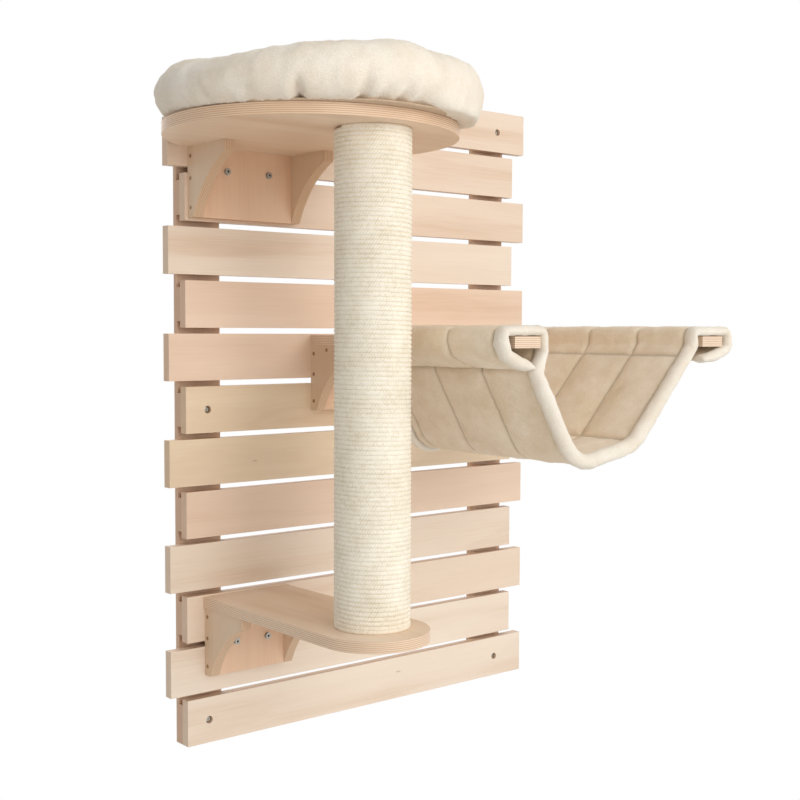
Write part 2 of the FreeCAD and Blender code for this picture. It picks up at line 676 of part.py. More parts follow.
def build_bed():
    """Round bed with a stuffed rim and a lower crowned seat, pressed flat against the slats."""
    reach = size("bed_wide") / 2
    high = size("bed_high")
    rim = size("bed_rim")
    seat = size("bed_seat_high")
    foot = reach - size("bed_foot_in")
    crest = reach - rim / 2
    inner = reach - rim
    crown = seat + size("bed_crown")
    flat = size("bed_flat")
    slope = inner - flat
    centre = (seat * seat + slope * slope - crown * crown) / (2 * (seat - crown))
    halfway = centre + math.sqrt((crown - centre) ** 2 - slope * slope / 4)
    edges = [
        Part.LineSegment(Vector(0, 0, 0), Vector(foot, 0, 0)),
        Part.Arc(Vector(foot, 0, 0), Vector(reach, 0, high * 0.46), Vector(crest, 0, high)),
        Part.Arc(Vector(crest, 0, high), Vector(inner + rim * 0.15, 0, high * 0.86), Vector(inner, 0, seat)),
        Part.Arc(Vector(inner, 0, seat), Vector(flat + slope / 2, 0, halfway), Vector(flat, 0, crown)),
        Part.LineSegment(Vector(flat, 0, crown), Vector(0, 0, crown)),
        Part.LineSegment(Vector(0, 0, crown), Vector(0, 0, 0)),
    ]
    section = Part.Face(Part.Wire([edge.toShape() for edge in edges]))
    solid = section.revolve(Vector(), Vector(0, 0, 1), 360)
    front = size_of(SLAT_FRONT)
    gap = size("soft_gap")
    solid.translate(Vector(size("bed_x"), front - size("bed_out"), size_of(POST_HIGH + " + board") + gap))
    clear = Part.makeBox(2 * reach, 2 * reach, high * 2,
                         Vector(size("bed_x") - reach, front - gap, size_of(POST_HIGH)))
    made = doc.addObject("Part::Feature", "bed")
    made.Label = "bed"
    made.Shape = solid.cut(clear)
    keep(made)


# ---- whole ----

def check_all():
    for thing in doc.Objects:
        if "Invalid" in thing.State or "Error" in thing.State:
            raise RuntimeError("%s failed: %s" % (thing.Label, thing.State))
    for thing in nodes:
        if thing.Shape.isNull() or not thing.Shape.isValid() or not thing.Shape.Solids:
            raise RuntimeError("%s has no valid solid" % thing.Label)


def main():
    build_panel()
    post_bolts = build_post()
    build_rope()
    build_platform(build_bracket("platform", "platform"), post_bolts)
    build_shelf(build_bracket("shelf", "shelf"), post_bolts)
    build_hammock_frame(build_bracket("hammock", "hammock_frame", with_top_plate=True))
    build_cover()
    build_bed()
    doc.recompute()
    check_all()
    os.makedirs("parts", exist_ok=True)
    for thing in nodes:
        thing.Shape.exportStep("parts/%s.step" % thing.Label)
        print("%-34s %d solid(s) %10.0f mm3" % (thing.Label, len(thing.Shape.Solids), thing.Shape.Volume))
    print(len(nodes), "nodes")


main()
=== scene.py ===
import math

import bmesh
import bpy
from mathutils import Matrix, Vector, noise


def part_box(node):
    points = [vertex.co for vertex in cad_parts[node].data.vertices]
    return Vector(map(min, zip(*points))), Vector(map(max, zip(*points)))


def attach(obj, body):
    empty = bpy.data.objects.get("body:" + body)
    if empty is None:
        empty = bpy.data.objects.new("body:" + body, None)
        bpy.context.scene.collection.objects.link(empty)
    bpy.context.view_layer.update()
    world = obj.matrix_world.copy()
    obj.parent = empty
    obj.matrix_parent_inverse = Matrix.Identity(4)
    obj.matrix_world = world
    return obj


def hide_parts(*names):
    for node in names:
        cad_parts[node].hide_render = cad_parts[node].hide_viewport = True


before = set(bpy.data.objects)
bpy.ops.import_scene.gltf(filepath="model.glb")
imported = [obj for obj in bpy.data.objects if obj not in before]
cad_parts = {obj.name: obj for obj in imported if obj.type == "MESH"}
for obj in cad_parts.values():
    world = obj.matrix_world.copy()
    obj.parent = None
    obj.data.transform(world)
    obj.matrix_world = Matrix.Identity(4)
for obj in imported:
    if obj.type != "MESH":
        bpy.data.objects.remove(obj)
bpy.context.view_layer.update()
print("frame loaded")


# solved from the slat edges, the post and the shelf in the photo
camera = {
    "place": (-1.4535, -1.9012, 0.1352),
    "turn": 39.58,      # degrees from +Y towards +X
    "tilt": -3.143,
    "roll": 0.179,
    "lens": 56.38,      # mm on a 36 mm sensor
}


def makeCamera(settings):
    turn, tilt, roll = (math.radians(settings[key]) for key in ("turn", "tilt", "roll"))
    ahead = Vector((math.sin(turn) * math.cos(tilt), math.cos(turn) * math.cos(tilt), math.sin(tilt)))
    side = Vector((math.cos(turn), -math.sin(turn), 0))
    up = side.cross(ahead)
    side, up = side * math.cos(roll) + up * math.sin(roll), up * math.cos(roll) - side * math.sin(roll)
    data = bpy.data.cameras.new("photoCamera")
    data.lens = settings["lens"]
    data.sensor_width = 36
    data.clip_end = 60
    made = bpy.data.objects.new("photoCamera", data)
    bpy.context.scene.collection.objects.link(made)
    made.matrix_world = Matrix.Translation(settings["place"]) @ Matrix((side, up, -ahead)).transposed().to_4x4()
    bpy.context.scene.camera = made


def linear(hexText, share=1.0):
    # sRGB hex to the linear values that nodes want, darkened to a share of them
    channels = [int(hexText[at:at + 2], 16) / 255 for at in (1, 3, 5)]
    return tuple(share * (c / 12.92 if c <= 0.04045 else ((c + 0.055) / 1.055) ** 2.4) for c in channels) + (1.0,)


def addNode(tree, kind, inputs=None, **settings):
    # one node with its settings; an input is a value or another node's socket
    node = tree.nodes.new(kind)
    for name, value in settings.items():
        setattr(node, name, value)
    for name, value in (inputs or {}).items():
        if isinstance(value, bpy.types.NodeSocket):
            tree.links.new(value, node.inputs[name])
        else:
            node.inputs[name].default_value = value
    return node


# the nodes used most, each returning the socket or sockets that come out
def mathNode(tree, operation, *values, **settings):
    return addNode(tree, "ShaderNodeMath", dict(enumerate(values)), operation=operation, **settings).outputs[0]


def vectorNode(tree, operation, *values):
    return addNode(tree, "ShaderNodeVectorMath", dict(enumerate(values)), operation=operation).outputs


def mapNode(tree, value, low, high, lowTo=0.0, highTo=1.0, **settings):
    inputs = dict(enumerate((value, low, high, lowTo, highTo)))
    return addNode(tree, "ShaderNodeMapRange", inputs, **settings).outputs[0]


def mixNode(tree, factor, first, second, **settings):
    inputs = {0: factor, 6: first, 7: second}
    return addNode(tree, "ShaderNodeMix", inputs, data_type="RGBA", **settings).outputs[2]


def noiseNode(tree, vector, scale, detail, **more):
    inputs = {"Vector": vector, "Scale": scale, "Detail": detail, **more}
    return addNode(tree, "ShaderNodeTexNoise", inputs).outputs[0]


def splitNode(tree, vector):
    return addNode(tree, "ShaderNodeSeparateXYZ", {0: vector}).outputs


def joinNode(tree, x, y, z):
    return addNode(tree, "ShaderNodeCombineXYZ", {0: x, 1: y, 2: z}).outputs[0]


def rampNode(tree, value, low, high, middle=None):
    # each stop is a position and a linear colour
    node = addNode(tree, "ShaderNodeValToRGB", {0: value})
    stops = node.color_ramp.elements
    for stop, (position, colour) in zip(stops, (low, high)):
        stop.position, stop.color = position, colour
    if middle:
        stops.new(middle[0]).color = middle[1]
    return node.outputs[0]


def finishMaterial(tree, shader, colour, height=None, strength=0.0, deep=0.0):
    # the colour goes into the shader, and a height with it as a relief that many metres deep
    tree.links.new(colour, shader.inputs["Base Color"])
    if height:
        relief = addNode(tree, "ShaderNodeBump", {"Height": height, "Strength": strength, "Distance": deep})
        tree.links.new(relief.outputs[0], shader.inputs["Normal"])


def startMaterial(name, roughness, **sockets):
    made = bpy.data.materials.new(name)
    made.use_nodes = True
    shader = made.node_tree.nodes["Principled BSDF"]
    shader.inputs["Roughness"].default_value = roughness
    for socket, value in sockets.items():
        shader.inputs[socket.replace("_", " ")].default_value = value
    return made, made.node_tree, shader


def newPiece(name, vertices, faces, material, smooth=True):
    mesh = bpy.data.meshes.new(name)
    mesh.from_pydata(vertices, [], faces)
    mesh.materials.append(material)
    mesh.polygons.foreach_set("use_smooth", [smooth] * len(mesh.polygons))
    mesh.update()
    made = bpy.data.objects.new(name, mesh)
    bpy.context.scene.collection.objects.link(made)
    return made


room = {
    "floorHeight": -1.6,
    "floorReach": 2.2,      # m; the floor fades into the white round it
    "floorPlain": 1.1,      # m of plain floor before it starts to fade
    "floorColour": "#f1f0ee",
    "worldStrength": 0.53,
    "lamps": (          # name, place, size in m, watts
        ("keyLamp", (1.9, -3.1, 2.0), 2.2, 32),
        ("frontLamp", (-0.7, -3.9, 0.9), 2.4, 58),
        ("lowLamp", (0.6, -3.2, -0.8), 1.8, 5),
        ("backLamp", (0.4, 2.6, 1.8), 2.2, 30),
    ),
    "lampsLookAt": (-0.1, -0.2, 0.1),
}


def floorPaint(settings):
    # Matt pale floor paint: takes the soft shadow, and fades out towards its edge for the camera
    made, tree, shader = startMaterial("paleFloorPaint", 0.9)
    shader.inputs["Base Color"].default_value = linear(settings["floorColour"])
    place = addNode(tree, "ShaderNodeTexCoord")
    level = vectorNode(tree, "MULTIPLY", place.outputs["Object"], (1, 1, 0))[0]
    reach = vectorNode(tree, "LENGTH", level)["Value"]
    fade = mapNode(tree, reach, settings["floorPlain"], settings["floorReach"] * 0.96,
                   interpolation_type="SMOOTHSTEP")
    path = addNode(tree, "ShaderNodeLightPath")
    fade = mathNode(tree, "MULTIPLY", fade, path.outputs["Is Camera Ray"])
    white = addNode(tree, "ShaderNodeEmission", {"Color": (1, 1, 1, 1), "Strength": 1.0})
    both = addNode(tree, "ShaderNodeMixShader", {0: fade, 1: shader.outputs[0], 2: white.outputs[0]})
    tree.links.new(both.outputs[0], tree.nodes["Material Output"].inputs["Surface"])
    return made


def makeRoom(settings):
    scene = bpy.context.scene
    scene.view_settings.view_transform = "Standard"
    world = bpy.data.worlds.new("studio")
    scene.world = world
    world.use_nodes = True
    tree = world.node_tree
    tree.nodes.clear()
    path = addNode(tree, "ShaderNodeLightPath").outputs
    seen = mathNode(tree, "MAXIMUM", path["Is Camera Ray"], path["Is Glossy Ray"])
    seen = mathNode(tree, "MAXIMUM", seen, path["Is Transmission Ray"])
    lit = addNode(tree, "ShaderNodeBackground", {"Color": (1, 1, 1, 1), "Strength": settings["worldStrength"]})
    white = addNode(tree, "ShaderNodeBackground", {"Color": (1, 1, 1, 1), "Strength": 1.0})
    mixed = addNode(tree, "ShaderNodeMixShader", {0: seen, 1: lit.outputs[0], 2: white.outputs[0]})
    addNode(tree, "ShaderNodeOutputWorld", {"Surface": mixed.outputs[0]})

    corners = [2 * math.pi * step / 64 for step in range(64)]
    ring = [(settings["floorReach"] * math.cos(turn), settings["floorReach"] * math.sin(turn),
             settings["floorHeight"]) for turn in corners]
    newPiece("floor", ring, [tuple(range(64))], floorPaint(settings), smooth=False)

    for name, spot, wide, watts in settings["lamps"]:
        data = bpy.data.lights.new(name, "AREA")
        data.shape = "DISK"
        data.size = wide
        data.energy = watts
        lamp = bpy.data.objects.new(name, data)
        scene.collection.objects.link(lamp)
        lamp.location = spot
        away = Vector(settings["lampsLookAt"]) - Vector(spot)
        lamp.rotation_euler = away.to_track_quat("-Z", "Y").to_euler()


makeCamera(camera)
makeRoom(room)
print("camera and room made")


birchPly = {
    "light": "#f0dfcb",      # early wood of the face veneer
    "middle": "#ead6c1",
    "dark": "#dfc5ab",
    "pin": "#a77d5b",        # pin knots
    "edgeLight": "#f0dcc6",  # plies seen along their grain
    "edgeDark": "#d3b190",   # plies seen end on
    "glue": "#7d5a3e",
    "plyThick": 1.5,         # mm
    "figureWide": 34,        # mm from one growth figure to the next
    "fibreWide": 1.4,        # mm
    "pinApart": 70,          # mm across the grain, and four times that along it
    "pinShare": 0.34,        # of the cells hold a pin knot
    "ringCount": 90.0,       # growth rings in the full swing of the figure
    "slatShift": 3.71,       # how far the figure moves on from one slat to the next
}


def plyMaterial(name, thickness, grain, tint="#ffffff", slatPitch=0.0, start=0.0, shift=0.0, figure=1.0):
    # Birch plywood, sanded and clear lacquered: rotary cut veneer with fine straight fibre, a faint broad
    # figure and a few pin knots, and thin plies on the edges. thickness and grain name those axes.
    made, tree, shader = startMaterial(name, 0.46)
    place = addNode(tree, "ShaderNodeTexCoord").outputs
    parts, facing = splitNode(tree, place["Object"]), splitNode(tree, place["Normal"])
    across = next(letter for letter in "XZY" if letter not in (thickness, grain))

    # each slat gets its own stretch of figure
    offset = shift
    if slatPitch:
        board = mathNode(tree, "ROUND", mathNode(tree, "DIVIDE", parts["Z"], slatPitch))
        offset = mathNode(tree, "MULTIPLY_ADD", board, birchPly["slatShift"], shift)

    def veneer(alongScale, acrossScale, moved=0.0):
        # a place in the veneer, drawn out along the grain
        return joinNode(tree, mathNode(tree, "MULTIPLY_ADD", parts[grain], alongScale, moved),
                        mathNode(tree, "MULTIPLY_ADD", parts[across], acrossScale, moved), offset)

    broad = noiseNode(tree, veneer(1.6, 500 / birchPly["figureWide"], offset), 1.0, 2.0, Roughness=0.5,
                      Distortion=0.4)
    fibre = noiseNode(tree, veneer(9.0, 1000 / birchPly["fibreWide"]), 1.0, 3.0, Roughness=0.6)
    rings = mathNode(tree, "SINE", mathNode(tree, "MULTIPLY", broad, birchPly["ringCount"]))
    tone = mathNode(tree, "MULTIPLY_ADD", rings, 0.018 * figure, broad)
    tone = mathNode(tree, "MULTIPLY_ADD", fibre, 0.42, tone)
    face = rampNode(tree, tone, (0.46, linear(birchPly["dark"])), (0.92, linear(birchPly["light"])),
                    (0.66, linear(birchPly["middle"])))

    # pin knots: short brown flecks along the grain, in a few of the cells only
    apart = birchPly["pinApart"]
    cells = addNode(tree, "ShaderNodeTexVoronoi", {"Vector": veneer(250 / apart, 1000 / apart), "Scale": 1.0}).outputs
    pins = mapNode(tree, cells["Distance"], 0.012, 0.034, 0.75, 0.0)
    chosen = addNode(tree, "ShaderNodeSeparateColor", {0: cells["Color"]})
    chosen = mathNode(tree, "LESS_THAN", chosen.outputs[0], birchPly["pinShare"])
    face = mixNode(tree, mathNode(tree, "MULTIPLY", pins, chosen), face, linear(birchPly["pin"]))

    # edges: plies in turn, with a thin line between them
    plies = mathNode(tree, "SUBTRACT", parts[thickness], start)
    plies = mathNode(tree, "MULTIPLY", plies, 1000 / birchPly["plyThick"])
    edge = rampNode(tree, mathNode(tree, "PINGPONG", plies, 1.0), (0.35, linear(birchPly["edgeDark"])),
                    (0.65, linear(birchPly["edgeLight"])))
    lines = mathNode(tree, "PINGPONG", mathNode(tree, "ADD", plies, 0.5), 0.5)
    patch = noiseNode(tree, place["Object"], 34.0, 2.0)
    gap = mathNode(tree, "MULTIPLY", mapNode(tree, lines, 0.40, 0.5), patch)
    gap = mathNode(tree, "MULTIPLY", gap, 1.2, use_clamp=True)
    edge = mixNode(tree, gap, edge, linear(birchPly["glue"]))
    onFace = mathNode(tree, "GREATER_THAN", mathNode(tree, "ABSOLUTE", facing[thickness]), 0.6)
    tinted = mixNode(tree, 1.0, mixNode(tree, onFace, edge, face), linear(tint), blend_type="MULTIPLY")
    finishMaterial(tree, shader, tinted, fibre, 0.04, 0.0004)
    return made


def metalMaterial(name, colour, roughness, headFace=None):
    # Zinc plated or browned steel: a satin metal with a faint uneven dullness. headFace, the Y of a socket
    # head's face, darkens what faces forward behind it: painted shade on the bottom of the socket.
    made, tree, shader = startMaterial(name, roughness, Metallic=1.0)
    place = addNode(tree, "ShaderNodeTexCoord").outputs
    dull = noiseNode(tree, place["Object"], 900.0, 2.0)
    tone = mixNode(tree, dull, linear(colour, 0.8), linear(colour))
    if headFace is not None:
        # painted shade: the floor of the socket, behind the head's face, is coloured near black
        deep = mapNode(tree, splitNode(tree, place["Object"])["Y"], headFace + 0.0003, headFace + 0.0016)
        front = mathNode(tree, "LESS_THAN", splitNode(tree, place["Normal"])["Y"], -0.7)
        tone = mixNode(tree, mathNode(tree, "MULTIPLY", deep, front), tone, linear("#3d3833"))
    finishMaterial(tree, shader, tone)
    rough = mapNode(tree, dull, 0.0, 1.0, roughness * 0.8, roughness * 1.3)
    tree.links.new(rough, shader.inputs["Roughness"])
    return made


def boardMaterial():
    # Spiral wound paper board of the post's core: brown, dull, with the seam of each wound strip
    made, tree, shader = startMaterial("woundPaperBoard", 0.85)
    place = addNode(tree, "ShaderNodeTexCoord").outputs["Object"]
    tone = mixNode(tree, noiseNode(tree, place, 240.0, 3.0), linear("#a88a61"), linear("#c4a67c"))
    strip = mathNode(tree, "PINGPONG", splitNode(tree, place)["Z"], 0.04)
    seam = mathNode(tree, "LESS_THAN", strip, 0.0008)
    finishMaterial(tree, shader, mixNode(tree, seam, tone, linear("#8a6e4b")))
    return made


def plushMaterial(name, light, dark, pileWide=2.4):
    # Short polyester plush: a dense soft pile, so it has sheen, no gloss, small tufts of lighter and darker
    # tone, broad patches where it was brushed, and painted shade along a seam where it pulls the pile in; the
    # pile is drawn as tufts of a few mm, because single fibres are too fine to show
    made, tree, shader = startMaterial(name, 0.95, Sheen_Weight=0.25, Sheen_Roughness=0.6)
    shader.inputs["Specular IOR Level"].default_value = 0.15
    place = addNode(tree, "ShaderNodeTexCoord").outputs["Object"]
    broad = noiseNode(tree, place, 17.0, 4.0, Roughness=0.6)
    tufts = noiseNode(tree, place, 1000 / pileWide, 4.0, Roughness=0.65, Distortion=0.5)
    tone = mapNode(tree, mathNode(tree, "MULTIPLY_ADD", tufts, 0.8, broad), 0.62, 1.18)
    colour = mixNode(tree, tone, linear(dark), linear(light))
    # painted shade: the pile along the seams, where the sewing pulls it into a groove, is coloured darker
    sewn = addNode(tree, "ShaderNodeAttribute", attribute_name="sewn")
    seam = mathNode(tree, "MULTIPLY", sewn.outputs["Fac"], 0.55)
    colour = mixNode(tree, seam, colour, linear(dark, 0.55))
    finishMaterial(tree, shader, colour, tufts, 0.6, 0.003)
    return made


def give(names, material):
    for name in names:
        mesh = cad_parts[name].data
        mesh.materials.clear()
        mesh.materials.append(material)


slatTones = (      # tone, tint, shift of the figure, strength of the figure, slats counted from the top
    ("Pale", "#ffffff", 1.3, 0.7, (4, 10, 12, 13)),
    ("Plain", "#fbf6f2", 4.1, 1.0, (1, 2, 3, 11)),
    ("Pink", "#fcf1ea", 7.9, 0.8, (5, 6, 9)),
    ("Yellow", "#f9f2e4", 9.2, 2.2, (7, 8)),
)
zincSteel = metalMaterial("brightZincSteel", "#b9b6ae", 0.32)
brownSteel = metalMaterial("brownedScrewSteel", "#a98a6c", 0.55)
for tone, tint, shift, figure, numbers in slatTones:
    give(["slat_%02d" % number for number in numbers],
         plyMaterial("birchPlySlat" + tone, "Y", "X", tint=tint, slatPitch=0.09, start=-0.039, shift=shift,
                     figure=figure))
give(["upright_left", "upright_right"],
     plyMaterial("birchPlyUpright", "Y", "Z", tint="#efdfd4", start=-0.021, shift=7.7))
for unit in ("platform", "shelf", "hammock"):
    count = len(unit)      # shifts the figure, so no two units look the same
    give([unit + "_bracket_back"],
         plyMaterial("birchPlyBack" + unit, "Y", "Z", tint="#fbe6d6", start=-0.057, shift=count * 2.9))
    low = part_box(unit + "_bracket_gusset_left")[0]
    give([unit + "_bracket_gusset_left", unit + "_bracket_gusset_right"],
         plyMaterial("birchPlyGusset" + unit, "X", "Z", tint="#f0e4d6", start=low[0], shift=count * 4.3))
    give([unit + "_clamp_batten"],
         plyMaterial("birchPlyBatten" + unit, "Y", "X", start=-0.021, shift=count * 5.1))
    give([unit + "_bracket_washers", unit + "_clamp_inserts"], zincSteel)
    give([unit + "_bracket_bolts"],
         metalMaterial(unit + "ZincBolt", "#aca89f", 0.32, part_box(unit + "_bracket_bolts")[0][1]))
    give([unit + "_bracket_screws"], brownSteel)
give(["hammock_top_plate"], plyMaterial("birchPlyTopPlate", "Z", "X", start=0.092, shift=2.2))
give(["platform"], plyMaterial("birchPlyPlatform", "Z", "X", tint="#fbf1e6", start=0.443, shift=5.9))
give(["shelf"], plyMaterial("birchPlyShelf", "Z", "Y", tint="#fffaf4", start=-0.341, shift=9.4))
give(["hammock_frame"], plyMaterial("birchPlyFrame", "Z", "Y", start=0.110, shift=4.4))
give(["post_plug_top", "post_plug_bottom"], plyMaterial("birchPlyPlug", "Z", "X", start=0.0, shift=3.3))
give(["platform_dowels", "shelf_dowels", "hammock_frame_dowels"],
     plyMaterial("turnedBeech", "X", "Z", tint="#e2c4a2", start=0.0, shift=6.1))
give(["slat_screws_left", "slat_screws_right", "post_bolts", "post_tee_nuts"], zincSteel)
give(["post_tube"], boardMaterial())
print("materials given to the wood and the hardware")


def outwards(mesh):
    # merges doubles and turns every face outwards
    work = bmesh.new()
    work.from_mesh(mesh)
    bmesh.ops.remove_doubles(work, verts=work.verts, dist=1e-6)
    bmesh.ops.recalc_face_normals(work, faces=work.faces)
    work.to_mesh(mesh)
    work.free()
    mesh.update()


def ringFaces(rings, count, capped=False):
    # quads between rings of points that follow each other, with the first and the last ring closed or not
    faces = [(ring * count + step, ring * count + (step + 1) % count, (ring + 1) * count + (step + 1) % count,
              (ring + 1) * count + step) for ring in range(rings - 1) for step in range(count)]
    if capped:
        faces.append(tuple(range(count)))
        faces.append(tuple((rings - 1) * count + step for step in reversed(range(count))))
    return faces


def smoothStep(low, high, value):
    share = min(max((value - low) / (high - low), 0.0), 1.0)
    return share * share * (3 - 2 * share)


swelling = {
    "pressure": 4.0,
    "frames": 9,
    "quality": 3,
    "stiffness": 15,
    "bending": 0.4,
}


def puff(piece, cap, pins):
    # Blender's cloth swells the piece from inside; no point may move further than the cap
    before = [vertex.co.copy() for vertex in piece.data.vertices]
    group = piece.vertex_groups.new(name="sewn")
    for index, pin in enumerate(pins):
        group.add([index], pin, "REPLACE")
    cloth = piece.modifiers.new("cloth", "CLOTH")
    cloth.settings.use_pressure = True
    cloth.settings.uniform_pressure_force = swelling["pressure"]
    cloth.settings.effector_weights.gravity = 0
    cloth.settings.tension_stiffness = swelling["stiffness"]
    cloth.settings.compression_stiffness = swelling["stiffness"]
    cloth.settings.bending_stiffness = swelling["bending"]
    cloth.settings.quality = swelling["quality"]
    cloth.settings.vertex_group_mass = "sewn"
    cloth.point_cache.frame_start = 1
    cloth.point_cache.frame_end = swelling["frames"]
    scene = bpy.context.scene
    for step in range(1, swelling["frames"] + 1):
        scene.frame_set(step)
    evaluated = piece.evaluated_get(bpy.context.evaluated_depsgraph_get())
    after = [vertex.co.copy() for vertex in evaluated.data.vertices]
    piece.modifiers.remove(cloth)
    piece.vertex_groups.remove(group)
    scene.frame_set(1)
    places = []
    for start, end in zip(before, after):
        move = end - start
        if move.length > cap:
            move *= cap / move.length
        places.append(start + move)
    placePoints(piece, places)


def placePoints(piece, places):
    piece.data.vertices.foreach_set("co", [value for place in places for value in place])
    piece.data.update()


def brushPile(piece, coarse, fine, highest):
    # the pile leans this way and that, so the outline of plush is never quite even
    normals = [vertex.normal.copy() for vertex in piece.data.vertices]
    places = []
    for vertex, normal in zip(piece.data.vertices, normals):
        place = vertex.co
        pile = noise.noise(place * coarse) * highest + noise.noise(place * fine) * highest * 0.5
        places.append(place + normal * pile)
    placePoints(piece, places)


def newTree(name, inputs):
    # an empty Geometry Nodes tree with named inputs, each a socket type and a value
    tree = bpy.data.node_groups.new(name, "GeometryNodeTree")
    tree.interface.new_socket("Geometry", in_out="INPUT", socket_type="NodeSocketGeometry")
    for label, (kind, _) in inputs.items():
        tree.interface.new_socket(label, in_out="INPUT", socket_type=kind)
    tree.interface.new_socket("Geometry", in_out="OUTPUT", socket_type="NodeSocketGeometry")
    return tree, addNode(tree, "NodeGroupInput").outputs


def endTree(tree, shape, material):
    shape = addNode(tree, "GeometryNodeRealizeInstances", {0: shape})
    shape = addNode(tree, "GeometryNodeSetMaterial", {"Geometry": shape.outputs[0], "Material": material})
    addNode(tree, "NodeGroupOutput", {0: shape.outputs[0]})


def growPiece(name, tree, inputs, startMesh=None):
    # runs the tree once on a maker object and keeps what comes out as a plain mesh
    maker = bpy.data.objects.new(name + "Maker", startMesh or bpy.data.meshes.new(name + "Maker"))
    bpy.context.scene.collection.objects.link(maker)
    nodes = maker.modifiers.new("nodes", "NODES")
    nodes.node_group = tree
    for item in tree.interface.items_tree:
        if item.name in inputs:
            nodes[item.identifier] = inputs[item.name][1]
    graph = bpy.context.evaluated_depsgraph_get()
    mesh = bpy.data.meshes.new_from_object(maker.evaluated_get(graph), preserve_all_data_layers=True,
                                           depsgraph=graph)
    maker.modifiers.remove(nodes)
    bpy.data.objects.remove(maker)
    mesh.name = name
    made = bpy.data.objects.new(name, mesh)
    bpy.context.scene.collection.objects.link(made)
    return made


rope = {
    "wide": 7.0,            # mm
    "pressed": 1.13,        # the turns press into each other, so the grooves between them are shallow
    "pitch": 7.0,
    "middle": (-0.258, -0.389),
    "outer": 60.0,          # mm, outside of the winding
    "low": -0.323,          # shelf top and platform underside
    "high": 0.443,
    "strands": 3,
    "lay": 13.0,            # mm of rope for one turn of a strand
    "stepsPerTurn": 56,
    "sides": 10,
    "wander": 0.45,         # mm that the winding strays
    "turned": -27.0,        # degrees, which puts both ends of the rope at the back
    "seed": 4.0,
    "colourLight": "#fbf3e3",
    "colourDark": "#d8c8a8",
}


def ropeMaterial(settings):
    # Twisted sisal: pale dry leaf fibre, three strands whose lay slants across each turn, no gloss
    made, tree, shader = startMaterial("twistedSisal", 0.9)
    shader.inputs["Specular IOR Level"].default_value = 0.2
    metres = addNode(tree, "ShaderNodeAttribute", attribute_name="along")
    around = addNode(tree, "ShaderNodeAttribute", attribute_name="around")
    side = splitNode(tree, around.outputs["Vector"])
    turn = mathNode(tree, "ARCTAN2", side["Y"], side["X"])
    lay = mathNode(tree, "MULTIPLY", metres.outputs["Fac"], 1000 * settings["strands"] / settings["lay"])
    slant = mathNode(tree, "MULTIPLY_ADD", turn, settings["strands"] / (2 * math.pi), lay)
    strand = mathNode(tree, "MULTIPLY", mathNode(tree, "PINGPONG", slant, 0.5), 2.0)
    strand = mathNode(tree, "POWER", strand, 0.4)
    place = addNode(tree, "ShaderNodeTexCoord").outputs["Object"]
    fibre = noiseNode(tree, place, 900.0, 3.0)
    broad = noiseNode(tree, place, 26.0, 3.0)
    # how deep the strand grooves go varies at random, in relief and in the painted shade below
    grooveDepthAndShade = mapNode(tree, noiseNode(tree, place, 150.0, 2.0), 0.40, 0.66, 0.06, 0.46)
    strand = mathNode(tree, "SUBTRACT", mathNode(tree, "MULTIPLY", strand, grooveDepthAndShade), grooveDepthAndShade)
    height = mathNode(tree, "MULTIPLY_ADD", fibre, 0.9, strand)
    # painted shade: the grooves between strands, low in height, get the dark end of the colour, along with random
    # fibre tone
    tone = mapNode(tree, mathNode(tree, "MULTIPLY_ADD", broad, 0.5, height), 0.18, 0.78)
    colour = mixNode(tree, tone, linear(settings["colourDark"]), linear(settings["colourLight"]))
    finishMaterial(tree, shader, colour, height, 0.45, 0.0008)
    return made


